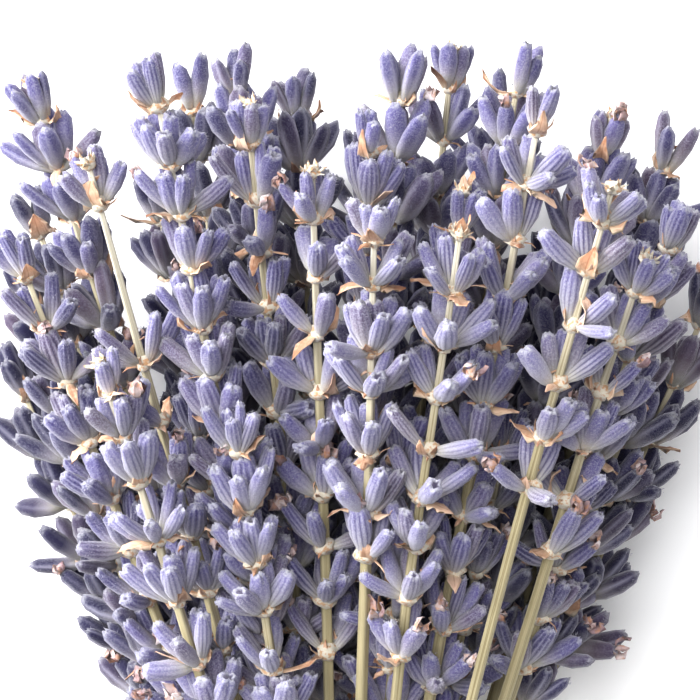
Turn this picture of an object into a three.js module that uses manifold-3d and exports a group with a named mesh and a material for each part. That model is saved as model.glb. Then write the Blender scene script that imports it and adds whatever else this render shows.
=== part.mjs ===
// A bunch of dried lavender, lying on a surface. Millimetres, +Z up. The cut stems point to -Y, the flower
// spikes to +Y. Fifty flowering stems stand in seven rows, run together through the neck, where twine ties
// them, and fan out to their spikes. Each spike is a slim core with whorls of four calyces fused to it. What
// would reach below the surface is pressed flat on it.
import * as THREE from "three";
import { mergeVertices } from "three/addons/utils/BufferGeometryUtils.js";
import Module from "manifold-3d";

// The rows of spikes, from the surface up. For each spike: its angle in the fan, in degrees, how far its tip
// reaches from the tie, and its length where it isn't drawn.
const rows = [
  [[-17.6, 86], [-11.4, 108], [-5.4, 82], [1, 113], [7.2, 84], [13.4, 106], [19.6, 90]],
  [[-21.2, 98], [-15, 84], [-8.8, 120], [-3.2, 119], [2.8, 82], [8.6, 119], [14.6, 101], [20.8, 86]],
  [[-24, 88], [-18.4, 106], [-12.4, 86], [-6.4, 121], [-0.6, 84],
    [5.2, 122], [11.2, 86], [17.4, 113], [23.4, 96]],
  [[-21, 86], [-15.8, 118], [-9.4, 98], [-3.6, 81], [2.6, 120], [8.8, 121], [13.8, 114], [20.6, 88]],
  [[-19.5, 101], [-12, 84], [-5.4, 115], [1.2, 114], [7, 106], [12.2, 82], [19.4, 104]],
  [[-14.4, 108.6, 40], [-9.6, 118.4, 42], [-2.2, 111, 38], [4.4, 81], [9.4, 116, 40], [17.2, 98.3, 32]],
  [[-16.8, 88.5, 40], [-8.8, 84, 38], [1.4, 105.5, 40], [6.6, 101, 34], [13.9, 105.5, 34]],
];

// The stems at the tie, in the fan above it, where a spread of angles carries them, and at their cut ends.
const neck = { height: 8.85, acrossStep: 1.5, rowStep: 1.68, halfLength: 5.6, pressedTo: 1.4, pressedHalf: 5 };
const fan = { at: 100, lowestRow: -3.2, rowStep: 4.1, jitter: 0.5, bend: 1.12, bow: 0.9 };
const butt = { length: 158, lengthSpread: 9, height: 10.6, spread: 2, jitter: 0.7, rest: 0.55 };
const stem = { width: 1.3, clear: 0.3, shortest: 42, bend: 24 };

// The spike: its length, the distance from whorl to whorl, and the slim core.
const spike = { length: 39, lengthSpread: 3, whorlStep: 7.8, coreRadius: 0.72, coreTip: 0.5 };

// A calyx: a tube that is widest at its belly and ends in a flattened mouth.
const calyx = {
  length: 7.2,
  lengthSpread: 0.5,
  seat: 1.6,
  belly: 0.64,
  bellyHalfWidth: 1.05,
  bellyHalfThickness: 0.85,
  mouthHalfWidth: 0.75,
  openFromRow: 5,
  lean: 36,
  leanSpread: 7,
  tipLean: 21,
};

// How a calyx gives way where it would touch another stem or spike: the leans, turns and lengths it tries.
const giveWay = { leanStep: 5, leastLean: 15, turns: [0, 12, -12, 24, -24], lengths: [1, 0.86, 0.72] };
const clearance = { apart: 0.12, intoSurface: 0.8, bodyFrom: 0.22, outerFrom: 0.5, bodyTo: 0.86, look: 6 };

// The twine: turns round the neck and a knot on top.
const twine = {
  thickness: 1.7,
  sides: 5,
  turns: 4,
  stepsPerTurn: 13,
  pitch: 1.8,
  halfWidth: 8.5,
  halfHeight: 8.2,
  squareness: 2.3,
};
const knot = { nose: 2.7, leg: 7.5, curl: 1.7, wide: 1.5, narrow: 0.85, lift: 0.75, fall: 3.3, steps: 10 };

const colours = { calyx: 0x7f7ba6, stem: 0xbcb083, twine: 0xb08f5f };

const RAD = Math.PI / 180;
const QUARTER = 90 * RAD;
const wasm = await Module();
wasm.setup();

// A seeded draw between -1 and 1.
let seed = 20260;
function draw() {
  seed = (seed * 1664525 + 1013904223) % 4294967296;
  return (seed / 4294967296) * 2 - 1;
}

const drawNear = (middle, spread) => middle + spread * draw();

// Every flowering stem's own numbers, drawn in order, row by row.
function planStems() {
  return rows.flatMap((row, r) =>
    row.map(([angle, reach, length], c) => ({
      row: r,
      across: c - (row.length - 1) / 2,
      up: r - (rows.length - 1) / 2,
      reach,
      acrossAngle: drawNear(angle, fan.jitter),
      upAngle: drawNear(fan.lowestRow + r * fan.rowStep, fan.jitter),
      bow: drawNear(0, fan.bow),
      spikeLength: Math.min(drawNear(length ?? spike.length, spike.lengthSpread), reach - stem.shortest),
      buttLength: drawNear(butt.length, butt.lengthSpread),
      buttX: drawNear(0, butt.jitter),
      buttUp: drawNear(0, butt.jitter),
      turn: drawNear(0, 45),
    })),
  );
}

// The line of a flowering stem, from its cut end through the neck to the tip of its spike.
class StemLine extends THREE.Curve {
  constructor(plan) {
    super();
    this.plan = plan;
    this.neckX = plan.across * neck.acrossStep;
    this.neckUp = plan.up * neck.rowStep;
    this.fanX = fan.at * Math.tan(plan.acrossAngle * RAD);
    this.fanUp = fan.at * Math.tan(plan.upAngle * RAD);
    this.spikeStart = plan.reach - plan.spikeLength;
  }

  // The point at a distance along the bunch from the tie, negative towards the cut ends.
  at(y) {
    if (y < 0) {
      const { buttX, buttUp } = this.plan;
      const share = Math.max(0, -y - neck.halfLength) / butt.length;
      const spread = 1 + (butt.spread - 1) * share;
      const height = neck.height + (butt.height - neck.height + buttUp) * share + this.neckUp * spread;
      return new THREE.Vector3(this.neckX * spread + buttX * share, y, Math.max(butt.rest, height));
    }
    const share = (Math.max(0, y - neck.halfLength) / (fan.at - neck.halfLength)) ** fan.bend;
    const bowed = this.plan.bow * Math.sin(Math.PI * Math.min(1, y / this.plan.reach)) ** 2;
    return new THREE.Vector3(
      this.neckX + (this.fanX - this.neckX) * share + bowed,
      y,
      neck.height + this.neckUp + (this.fanUp - this.neckUp) * share,
    );
  }

  // Where the bare stem bends, from its cut end to its spike. It runs straight from one bend to the next.
  get bends() {
    return [-this.plan.buttLength, -neck.halfLength, neck.halfLength, stem.bend, this.spikeStart - stem.clear];
  }

  // The bare stem, as the curve that its section is carried along, with one step to each stretch.
  getPoint(t, target = new THREE.Vector3()) {
    const { bends } = this;
    const place = THREE.MathUtils.clamp(t, 0, 1) * (bends.length - 1);
    const i = Math.min(Math.floor(place), bends.length - 2);
    return target.lerpVectors(this.at(bends[i]), this.at(bends[i + 1]), place - i);
  }

  getUtoTmapping(u) {
    return u;
  }

  // The stem's four sides keep facing up, down and sideways all the way.
  computeFrenetFrames(segments) {
    const all = (x, y, z) => Array.from({ length: segments + 1 }, () => new THREE.Vector3(x, y, z));
    return { tangents: all(0, 1, 0), normals: all(1, 0, 0), binormals: all(0, 0, -1) };
  }

  direction(y) {
    return this.at(y + 0.5).sub(this.at(y - 0.5)).normalize();
  }
}

// The nearest distance between two straight pieces, each from a to b.
function gapBetween(first, second) {
  const along = first.b.clone().sub(first.a);
  const other = second.b.clone().sub(second.a);
  const apart = first.a.clone().sub(second.a);
  const clamp = (share) => THREE.MathUtils.clamp(share, 0, 1);
  const square = along.lengthSq();
  const otherSquare = other.lengthSq();
  const cross = along.dot(other);
  const slant = square * otherSquare - cross * cross;
  const met = cross * other.dot(apart) - along.dot(apart) * otherSquare;
  let share = slant > 1e-9 ? clamp(met / slant) : 0;
  const otherShare = clamp((cross * share + other.dot(apart)) / otherSquare);
  share = clamp((cross * otherShare - along.dot(apart)) / square);
  return apart.addScaledVector(along, share).addScaledVector(other, -otherShare).length();
}

// What a calyx of another spike has to keep clear of: straight pieces, each as thick as its radius.
function stemPieces(line, owner) {
  const middle = (line.spikeStart + line.plan.reach) / 2;
  const bends = [...line.bends, middle, line.plan.reach].filter((y) => y > 0);
  return bends.slice(1).map((y, i) => ({
    a: line.at(bends[i]),
    b: line.at(y),
    radius: y < middle ? stem.width * Math.SQRT1_2 : spike.coreRadius,
    owner,
  }));
}

// The sides of a spike at a height: its direction, and the two that stand square to it.
function frameAt(line, y, along = line.direction(y)) {
  const up = new THREE.Vector3(0, 0, 1).addScaledVector(along, -along.z).normalize();
  return { point: line.at(y), along, up, side: new THREE.Vector3().crossVectors(along, up) };
}

function outward(frame, turn) {
  return frame.up.clone().multiplyScalar(Math.cos(turn)).addScaledVector(frame.side, Math.sin(turn));
}

// One calyx, as its seat on the core, its direction and its sides.
function calyxPose(frame, turn, lean, length) {
  const out = outward(frame, turn);
  const axis = frame.along.clone().multiplyScalar(Math.cos(lean)).addScaledVector(out, Math.sin(lean));
  const wide = new THREE.Vector3().crossVectors(frame.along, out);
  const thick = new THREE.Vector3().crossVectors(wide, axis);
  const seat = frame.point.clone().addScaledVector(out, spike.coreRadius * Math.SQRT1_2);
  const at = (share) => seat.clone().addScaledVector(axis, length * share);
  return { axis, wide, thick, at };
}

// The space that a calyx takes, or null where the surface or something else is in its way. Against its own
// spike only its outer part counts, and is as thick as it is, for all calyces there meet at their roots.
function spaceFor(pose, obstacles, owner) {
  const radius = Math.hypot(calyx.bellyHalfWidth, calyx.bellyHalfThickness);
  const outer = { a: pose.at(clearance.outerFrom), b: pose.at(clearance.bodyTo) };
  const space = { a: pose.at(clearance.bodyFrom), b: outer.b, radius, owner, outer };
  if (Math.min(space.a.z, space.b.z) - calyx.bellyHalfThickness < -clearance.intoSurface) return null;
  const blocked = obstacles.some((other) => {
    if (other.a.y > space.b.y + clearance.look || other.b.y < space.a.y - clearance.look) return false;
    if (other.owner !== owner) return gapBetween(space, other) < radius + other.radius + clearance.apart;
    return other.outer ? gapBetween(outer, other.outer) < 2 * calyx.bellyHalfWidth : false;
  });
  return blocked ? null : space;
}

// The first pose that is clear: as it grows, then turned aside, closed up or short. Null where none is.
function settleCalyx(frame, turn, lean, length, obstacles, owner) {
  for (const share of giveWay.lengths) {
    for (let closed = lean; closed >= giveWay.leastLean; closed -= giveWay.leanStep) {
      for (const aside of giveWay.turns) {
        const pose = calyxPose(frame, turn + aside * RAD, closed * RAD, length * share);
        const space = spaceFor(pose, obstacles, owner);
        if (space) {
          obstacles.push(space);
          return pose;
        }
      }
    }
  }
  return null;
}

// A spike as one closed surface. The core has a low and a high ring of four corners at each whorl, and a calyx
// grows out of each of the four faces between them.
function spikeGeometry(line, owner, obstacles) {
  const { plan } = line;
  const points = [];
  const faces = [];
  const add = (point) => points.push(point) - 1;
  const quad = (a, b, c, d) => faces.push([a, b, c], [a, c, d]);
  const whorled = plan.spikeLength - calyx.length - calyx.seat / 2;
  const steps = Math.round(whorled / spike.whorlStep);
  const ring = (y, turn, along) => {
    const frame = frameAt(line, y, along);
    const share = (y - line.spikeStart) / plan.spikeLength;
    const radius = THREE.MathUtils.lerp(spike.coreRadius, spike.coreTip, share);
    return [0, 1, 2, 3].map((k) =>
      add(frame.point.clone().addScaledVector(outward(frame, turn + (k - 0.5) * QUARTER), radius)),
    );
  };
  let below = null;
  for (let w = 0; w <= steps; w += 1) {
    const y = line.spikeStart + (w / steps) * whorled;
    const last = w === steps;
    // The next whorl's calyces stand over the gaps of this one. The lowest ring is level with the stem's end.
    const turn = plan.turn * RAD + (w * QUARTER) / 2;
    const low = ring(y, turn, w === 0 ? new THREE.Vector3(0, 1, 0) : undefined);
    const high = ring(y + calyx.seat, turn);
    if (below) {
      for (let k = 0; k < 4; k += 1) quad(below[k], below[(k + 1) % 4], low[(k + 1) % 4], low[k]);
    } else {
      quad(low[3], low[2], low[1], low[0]);
    }
    const frame = frameAt(line, y + calyx.seat / 2);
    for (let k = 0; k < 4; k += 1) {
      const lean = drawNear(last ? calyx.tipLean : calyx.lean, calyx.leanSpread);
      const length = drawNear(calyx.length, calyx.lengthSpread);
      const pose = settleCalyx(frame, turn + k * QUARTER, lean, length, obstacles, owner);
      const seat = [low[k], low[(k + 1) % 4], high[(k + 1) % 4], high[k]];
      if (pose) growCalyx(pose, seat, plan.row >= calyx.openFromRow, add, quad, faces);
      else quad(...seat);
    }
    below = high;
  }
  const tip = add(line.at(plan.reach - calyx.length / 2));
  for (let k = 0; k < 4; k += 1) faces.push([below[k], below[(k + 1) % 4], tip]);
  return new THREE.BufferGeometry().setFromPoints(points).setIndex(faces.flat());
}

// The faces of one calyx: from its seat out to the belly, and on to the mouth, which has two corners where it
// is open and closes to a point where it isn't.
function growCalyx(pose, seat, open, add, quad, faces) {
  const belly = pose.at(calyx.belly);
  const ring = [[-1, 1], [1, 1], [1, -1], [-1, -1]].map(([wide, thick]) => {
    const corner = belly.clone().addScaledVector(pose.wide, wide * calyx.bellyHalfWidth);
    return add(corner.addScaledVector(pose.thick, thick * calyx.bellyHalfThickness));
  });
  for (let k = 0; k < 4; k += 1) quad(seat[k], seat[(k + 1) % 4], ring[(k + 1) % 4], ring[k]);
  if (open) {
    const mouth = (side) => add(pose.at(1).addScaledVector(pose.wide, side * calyx.mouthHalfWidth));
    const [left, right] = [mouth(-1), mouth(1)];
    quad(ring[0], ring[1], right, left);
    quad(ring[2], ring[3], left, right);
    faces.push([ring[1], ring[2], right], [ring[3], ring[0], left]);
  } else {
    const point = add(pose.at(1));
    for (let k = 0; k < 4; k += 1) faces.push([ring[k], ring[(k + 1) % 4], point]);
  }
}

// A three.js shape as a solid for joining and cutting, and back.
function solidOf(geometry) {
  const bare = geometry.index ? geometry.toNonIndexed() : geometry.clone();
  bare.deleteAttribute("normal");
  bare.deleteAttribute("uv");
  const merged = mergeVertices(bare, 1e-4);
  return new wasm.Manifold(
    new wasm.Mesh({
      numProp: 3,
      vertProperties: new Float32Array(merged.attributes.position.array),
      triVerts: new Uint32Array(merged.index.array),
    }),
  );
}

function geometryOf(solid) {
  const mesh = solid.getMesh();
  const geometry = new THREE.BufferGeometry();
  geometry.setAttribute("position", new THREE.BufferAttribute(mesh.vertProperties, 3));
  return geometry.setIndex(new THREE.BufferAttribute(mesh.triVerts, 1));
}

// What would reach below the surface is pressed flat on it.
function pressedFlat(geometry) {
  geometry.computeBoundingBox();
  if (geometry.boundingBox.min.z >= 0) return geometry;
  const size = 4 * butt.length;
  const ground = new THREE.BoxGeometry(size, size, size).translate(0, 0, -size / 2);
  return geometryOf(solidOf(geometry).subtract(solidOf(ground)));
}

// A square stem carried along its line.
function stemGeometry(line) {
  const half = stem.width / 2;
  const section = new THREE.Shape([
    new THREE.Vector2(-half, -half),
    new THREE.Vector2(half, -half),
    new THREE.Vector2(half, half),
    new THREE.Vector2(-half, half),
  ]);
  return new THREE.ExtrudeGeometry(section, { steps: line.bends.length - 1, extrudePath: line });
}

// The stems of a row are pressed together into one flat body where the twine holds them.
function rowGeometry(lines) {
  const width = (lines.length - 1) * neck.acrossStep + neck.pressedTo;
  const pressed = new THREE.BoxGeometry(width, 2 * neck.pressedHalf, neck.pressedTo);
  pressed.translate(0, 0, neck.height + lines[0].neckUp);
  return geometryOf(lines.reduce((joined, line) => joined.add(solidOf(stemGeometry(line))), solidOf(pressed)));
}

// A cord carried along a path, with a section of a few sides.
function cordGeometry(path, steps) {
  const corners = Array.from({ length: twine.sides }, (_, k) => {
    const turn = (k / twine.sides) * 4 * QUARTER;
    return new THREE.Vector2(Math.cos(turn), Math.sin(turn)).multiplyScalar(twine.thickness / 2);
  });
  return new THREE.ExtrudeGeometry(new THREE.Shape(corners), { steps, extrudePath: path });
}

// The twine's turns: a rounded oval that moves on by a little over one thickness a turn, from the top.
class TwineTurns extends THREE.Curve {
  getPoint(t, target = new THREE.Vector3()) {
    const turn = (4 * t * twine.turns + 1) * QUARTER;
    const rounded = (value) => Math.sign(value) * Math.abs(value) ** (2 / twine.squareness);
    return target.set(
      twine.halfWidth * rounded(Math.cos(turn)),
      (t - 0.5) * twine.turns * twine.pitch,
      neck.height + twine.halfHeight * rounded(Math.sin(turn)),
    );
  }
}

// Half of the knot on top: a loop whose nose lies over the legs of the other half, and whose own legs draw
// together and dip under the nose of the other. The halves are alike, turned by half a turn.
class KnotHalf extends THREE.Curve {
  constructor(side) {
    super();
    this.side = side;
  }

  getPoint(t, target = new THREE.Vector3()) {
    const along = 2 * t - 1;
    const far = Math.abs(along);
    const width = knot.narrow + knot.wide * Math.max(0, Math.sin(2 * QUARTER * (far + 0.2))) ** 2;
    const onTop = neck.height + twine.halfHeight + twine.thickness + stem.clear + knot.lift;
    return target.set(
      this.side * (knot.nose - knot.leg * far ** knot.curl),
      this.side * width * Math.sin(QUARTER * THREE.MathUtils.clamp(3 * along, -1, 1)),
      onTop + knot.lift * Math.cos(2 * QUARTER * Math.min(1, 1.35 * far)) - knot.fall * Math.max(0, far - 0.6),
    );
  }
}

function knotGeometry() {
  const halves = [1, -1].map((side) => solidOf(cordGeometry(new KnotHalf(side), knot.steps)));
  return geometryOf(halves[0].add(halves[1]));
}

function material(colour, roughness) {
  return new THREE.MeshStandardMaterial({ color: colour, roughness, metalness: 0 });
}

function named(name, geometry, surface) {
  const mesh = new THREE.Mesh(geometry, surface);
  mesh.name = name;
  return mesh;
}

function buildBunch() {
  const bunch = new THREE.Group();
  const calyxSurface = material(colours.calyx, 0.85);
  const stemSurface = material(colours.stem, 0.7);
  const twineSurface = material(colours.twine, 0.9);
  const numbered = (name, i) => `${name}_${String(i + 1).padStart(2, "0")}`;
  const lines = planStems().map((plan) => new StemLine(plan));
  const obstacles = lines.flatMap((line, i) => stemPieces(line, i));

  // The topmost spikes take their places first, so it is the hidden ones that give way.
  for (let i = lines.length - 1; i >= 0; i -= 1) {
    const geometry = pressedFlat(spikeGeometry(lines[i], i, obstacles));
    bunch.add(named(numbered("spike", i), geometry, calyxSurface));
  }
  rows.forEach((row, r) => {
    const members = lines.filter((line) => line.plan.row === r);
    bunch.add(named(numbered("stems", r), pressedFlat(rowGeometry(members)), stemSurface));
  });
  const turns = cordGeometry(new TwineTurns(), twine.turns * twine.stepsPerTurn);
  bunch.add(named("twine_tie", pressedFlat(turns), twineSurface));
  bunch.add(named("twine_knot", knotGeometry(), twineSurface));

  // The origin is under the middle of the whole bunch, on the surface.
  const box = new THREE.Box3().setFromObject(bunch);
  bunch.position.set(-(box.min.x + box.max.x) / 2, -(box.min.y + box.max.y) / 2, -box.min.z);
  return bunch;
}

export default buildBunch();
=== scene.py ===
import math

import bpy
import numpy as np
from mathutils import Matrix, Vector


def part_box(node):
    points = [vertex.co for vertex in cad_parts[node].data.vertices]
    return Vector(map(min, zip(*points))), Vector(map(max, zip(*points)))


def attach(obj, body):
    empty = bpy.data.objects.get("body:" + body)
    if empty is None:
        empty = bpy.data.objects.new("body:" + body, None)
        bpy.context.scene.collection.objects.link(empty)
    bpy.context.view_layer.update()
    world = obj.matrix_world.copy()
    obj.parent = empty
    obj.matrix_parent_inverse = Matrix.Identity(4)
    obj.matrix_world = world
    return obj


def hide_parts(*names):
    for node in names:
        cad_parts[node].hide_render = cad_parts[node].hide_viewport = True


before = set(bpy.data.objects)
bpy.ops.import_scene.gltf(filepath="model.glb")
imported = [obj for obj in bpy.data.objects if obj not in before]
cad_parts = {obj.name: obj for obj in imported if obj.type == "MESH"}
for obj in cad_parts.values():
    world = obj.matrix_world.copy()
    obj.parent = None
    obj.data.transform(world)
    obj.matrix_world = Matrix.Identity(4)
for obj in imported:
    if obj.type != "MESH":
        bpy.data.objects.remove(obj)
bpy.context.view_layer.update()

# A bunch of dried lavender that lies on a pale surface. Sizes are in millimetres: x runs across the bunch,
# y along it from the tie to the flowers, z up. A mesh gets its place in the frame, in metres, as it is made.
metre = 1000
mm = 1 / metre
tieLow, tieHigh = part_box("twine_tie")
tie = np.array([(tieLow.x + tieHigh.x) / 2 * metre, (tieLow.y + tieHigh.y) / 2 * metre, 0.0])

# The rows of stems from the surface up: angle in the fan, reach of the tip from the tie, length of the spike.
bunch = {
    "rows": [
        [[-17.6, 86], [-11.4, 108], [-5.4, 82], [1, 113], [7.2, 84], [13.4, 106], [19.6, 90]],
        [[-21.2, 98], [-15, 84], [-8.8, 120], [-3.2, 119], [2.8, 82], [8.6, 119], [14.6, 101], [20.8, 86]],
        [[-24, 88], [-18.4, 106], [-12.4, 86], [-6.4, 121], [-0.6, 84], [5.2, 122], [11.2, 86], [17.4, 113],
         [23.4, 96]],
        [[-21, 86], [-15.8, 118], [-9.4, 98], [-3.6, 81], [2.6, 120], [8.8, 121], [13.8, 114], [20.6, 88]],
        [[-19.5, 101], [-12, 84], [-5.4, 115], [1.2, 114], [7, 106], [12.2, 82], [19.4, 104]],
        [[-14.4, 108.6, 40], [-9.6, 118.4, 42], [-2.2, 111, 38], [4.4, 81], [9.4, 116, 40], [17.2, 98.3, 32]],
        [[-16.8, 88.5, 40], [-8.8, 84, 38], [1.4, 105.5, 40], [6.6, 101, 34], [13.9, 105.5, 34]],
    ],
    "seed": 20260,
    "neckHeight": 8.85, "neckHalf": 5.6, "acrossStep": 1.5, "rowStep": 1.68, "lowestLine": 0.6,
    "fanAt": 100, "lowestAngle": -3.2, "rowAngle": 4.1, "angleJitter": 0.5, "fanBend": 1.12, "bow": 0.9,
    "buttLength": 158, "buttLengthSpread": 9, "buttHeight": 10.6, "buttSpread": 2, "buttJitter": 0.7,
    "spikeLength": 39, "spikeLengthSpread": 3, "shortestStem": 42, "turnJitter": 45,
}


def planStems():
    # The same seeded draws, in the same order, as the solids are laid out by. A draw's state is the last one
    # times a factor, plus a step, in 32 bits.
    state, factor, step, states = bunch["seed"], 1664525, 1013904223, 2 ** 32

    def near(middle, spread):
        nonlocal state
        state = (state * factor + step) % states
        return middle + spread * (state / states * 2 - 1)

    stems = []
    for r, row in enumerate(bunch["rows"]):
        for c, (angle, reach, *given) in enumerate(row):
            stem = {"row": r, "column": c, "reach": reach}
            stem["neckX"] = (c - (len(row) - 1) / 2) * bunch["acrossStep"]
            stem["neckUp"] = (r - (len(bunch["rows"]) - 1) / 2) * bunch["rowStep"]
            stem["fanX"] = bunch["fanAt"] * math.tan(math.radians(near(angle, bunch["angleJitter"])))
            upAngle = near(bunch["lowestAngle"] + r * bunch["rowAngle"], bunch["angleJitter"])
            stem["fanUp"] = bunch["fanAt"] * math.tan(math.radians(upAngle))
            stem["bow"] = near(0, bunch["bow"])
            length = near(given[0] if given else bunch["spikeLength"], bunch["spikeLengthSpread"])
            stem["spikeStart"] = reach - min(length, reach - bunch["shortestStem"])
            stem["buttLength"] = near(bunch["buttLength"], bunch["buttLengthSpread"])
            stem["buttX"] = near(0, bunch["buttJitter"])
            stem["buttUp"] = near(0, bunch["buttJitter"])
            stem["turn"] = near(0, math.radians(bunch["turnJitter"]))
            stems.append(stem)
    return {name: np.array([stem[name] for stem in stems], float) for name in stems[0]}


stems = planStems()
stemCount = len(stems["row"])
stemKeys = [(int(row), int(column)) for row, column in zip(stems["row"], stems["column"])]


def lineAt(stems, y):
    # Below the tie the stems part a little and sink to the surface. Above it they fan out by the share of the
    # way to the power of the fan's bend, and bow by a squared sine. y holds a row of places for each stem.
    s = {name: value[:, None] for name, value in stems.items()}
    low = np.maximum(0, -y - bunch["neckHalf"]) / bunch["buttLength"]
    spread = 1 + (bunch["buttSpread"] - 1) * low
    lowZ = bunch["neckHeight"] + (bunch["buttHeight"] - bunch["neckHeight"] + s["buttUp"]) * low
    high = (np.maximum(0, y - bunch["neckHalf"]) / (bunch["fanAt"] - bunch["neckHalf"])) ** bunch["fanBend"]
    bowed = s["bow"] * np.sin(np.pi * np.clip(y / s["reach"], 0, 1)) ** 2
    highX = s["neckX"] + (s["fanX"] - s["neckX"]) * high + bowed
    x = np.where(y < 0, s["neckX"] * spread + s["buttX"] * low, highX)
    highZ = bunch["neckHeight"] + s["neckUp"] + (s["fanUp"] - s["neckUp"]) * high
    z = np.where(y < 0, np.maximum(bunch["lowestLine"], lowZ + s["neckUp"] * spread), highZ)
    return np.stack([x, y + 0 * x, z], -1)


def unit(vectors, least=1e-9):
    return vectors / np.maximum(np.linalg.norm(vectors, axis=-1, keepdims=True), least)


def picked(stems, index):
    return {name: value[index] for name, value in stems.items()}


def sidesAt(stems, y, ahead=0.5):
    # The place on each stem's line, the direction along it, and the two sides that stand square to it.
    place = lineAt(stems, y)
    along = unit(lineAt(stems, y + ahead) - lineAt(stems, y - ahead))
    up = unit(np.array([0, 0, 1.0]) - along * along[..., 2:])
    return place, along, up, np.cross(along, up)


def standOn(index, heights):
    # The same for the stems of an index, at one height each.
    return (value[:, 0] for value in sidesAt(picked(stems, index), heights[:, None]))


def evenTurns(many):
    return np.arange(many) * 2 * np.pi / many


def turned(first, second, turn):
    # The direction at a turn from the first side towards the second.
    return first * np.cos(turn)[..., None] + second * np.sin(turn)[..., None]


def travelAlong(path):
    return np.concatenate([[0], np.cumsum(np.linalg.norm(np.diff(path, axis=0), axis=1))])


# Skins: rings of points carried along a path, closed by a pole at each end. Faces point outwards when the
# first side, the second side and the path are a right-handed set.
def skinFaces(count, rings, sides):
    start = np.arange(count)[:, None, None] * (rings * sides + 2)
    ring = np.arange(rings - 1)[None, :, None] * sides
    side = np.arange(sides)[None, None, :]
    after = (side + 1) % sides
    quads = np.stack([start + ring + side, start + ring + after, start + ring + sides + after,
                      start + ring + sides + side], -1)
    lowPole = start + rings * sides
    last = start + (rings - 1) * sides
    zero = 0 * side
    lowFan = np.stack([lowPole + zero, start + after, start + side], -1)
    highFan = np.stack([lowPole + 1 + zero, last + side, last + after], -1)
    return quads.reshape(-1, 4), np.concatenate([lowFan.reshape(-1, 3), highFan.reshape(-1, 3)])


def skins(centres, first, second, reachFirst, reachSecond, lowPole, highPole, **marks):
    # Point = centre + first side * reach + second side * reach, in arrays (skin, ring, side). marks are the
    # values that a material reads, in the same arrays. A pole gets the mean of its end ring.
    points = (centres[:, :, None] + first[:, :, None] * reachFirst[..., None]
              + second[:, :, None] * reachSecond[..., None])
    count, rings, sides = reachFirst.shape
    quads, triangles = skinFaces(count, rings, sides)
    flat = np.concatenate([points.reshape(count, -1, 3), lowPole[:, None], highPole[:, None]], 1)
    held = {}
    for name, value in marks.items():
        value = np.broadcast_to(value, reachFirst.shape)
        ends = np.stack([value[:, 0].mean(-1), value[:, -1].mean(-1)], -1)
        held[name] = np.concatenate([value.reshape(count, -1), ends], 1).ravel()
    return {"points": flat.reshape(-1, 3), "quads": quads, "triangles": triangles, "marks": held}


def markPole(skin, count, name, pole, value):
    # Of a skin's points the last but one is its low pole, and the last its high one.
    skin["marks"][name].reshape(count, -1)[:, pole] = value


def thorns(points, directions, lengths, widths, **marks):
    # Hairs and fibres: four-faced thorns, each with a three-cornered foot.
    count = len(points)
    aslant = np.array([0.31, 0.57, 0.76])
    side = unit(np.cross(directions, aslant))
    other = np.cross(directions, side)
    foot = points[:, None] + widths[:, None, None] * turned(side[:, None], other[:, None], evenTurns(3))
    tips = points + directions * lengths[:, None]
    corners = np.concatenate([foot, tips[:, None]], 1).reshape(-1, 3)
    faces = np.array([[0, 2, 1], [0, 1, 3], [1, 2, 3], [2, 0, 3]])
    triangles = (np.arange(count)[:, None, None] * 4 + faces).reshape(-1, 3)
    held = {name: np.repeat(np.broadcast_to(value, count), 4) for name, value in marks.items()}
    return {"points": corners, "quads": np.zeros((0, 4), int), "triangles": triangles, "marks": held}


def addPiece(name, skinsOf, materials, nodes=()):
    # Joins skins into one mesh: skinsOf is a list of (skin, number of its material). What would reach below
    # the surface is pressed flat on it.
    points = np.concatenate([skin["points"] for skin, _ in skinsOf]) + tie
    points[:, 2] = np.maximum(points[:, 2], 0)
    starts = np.cumsum([0] + [len(skin["points"]) for skin, _ in skinsOf])[:-1]
    faces = {}
    for kind in ("quads", "triangles"):
        faces[kind] = np.concatenate([skin[kind] + start for (skin, _), start in zip(skinsOf, starts)])
    slotsOf = [np.full(len(skin[kind]), number) for kind in faces for skin, number in skinsOf]
    mesh = bpy.data.meshes.new(name)
    mesh.vertices.add(len(points))
    mesh.vertices.foreach_set("co", (points * mm).astype(np.float32).ravel())
    corners = np.concatenate([value.ravel() for value in faces.values()])
    mesh.loops.add(len(corners))
    mesh.loops.foreach_set("vertex_index", corners.astype(np.int32))
    sizes = np.concatenate([np.full(len(value), value.shape[1]) for value in faces.values()])
    mesh.polygons.add(len(sizes))
    mesh.polygons.foreach_set("loop_start", (np.cumsum(sizes) - sizes).astype(np.int32))
    mesh.polygons.foreach_set("material_index", np.concatenate(slotsOf).astype(np.int32))
    mesh.polygons.foreach_set("use_smooth", np.ones(len(sizes), bool))
    for markName in sorted({markName for skin, _ in skinsOf for markName in skin["marks"]}):
        values = [skin["marks"].get(markName, np.zeros(len(skin["points"]))) for skin, _ in skinsOf]
        attribute = mesh.attributes.new(markName, "FLOAT", "POINT")
        attribute.data.foreach_set("value", np.concatenate(values).astype(np.float32))
    mesh.update(calc_edges=True)
    for material in materials:
        mesh.materials.append(material)
    piece = bpy.data.objects.new(name, mesh)
    bpy.context.scene.collection.objects.link(piece)
    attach(piece, "root")
    if nodes:
        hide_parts(*nodes)


# Materials: nodes are put in by kind, with their inputs given as values or as other nodes' outputs.
def put(tree, kind, inputs, **settings):
    node = tree.nodes.new("ShaderNode" + kind)
    for name, value in settings.items():
        setattr(node, name, value)
    for name, value in inputs.items():
        if isinstance(value, bpy.types.NodeSocket):
            tree.links.new(value, node.inputs[name])
        else:
            node.inputs[name].default_value = value
    return node.outputs[0]


def mark(tree, name):
    node = tree.nodes.new("ShaderNodeAttribute")
    node.attribute_name = name
    return node.outputs["Fac"]


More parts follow.
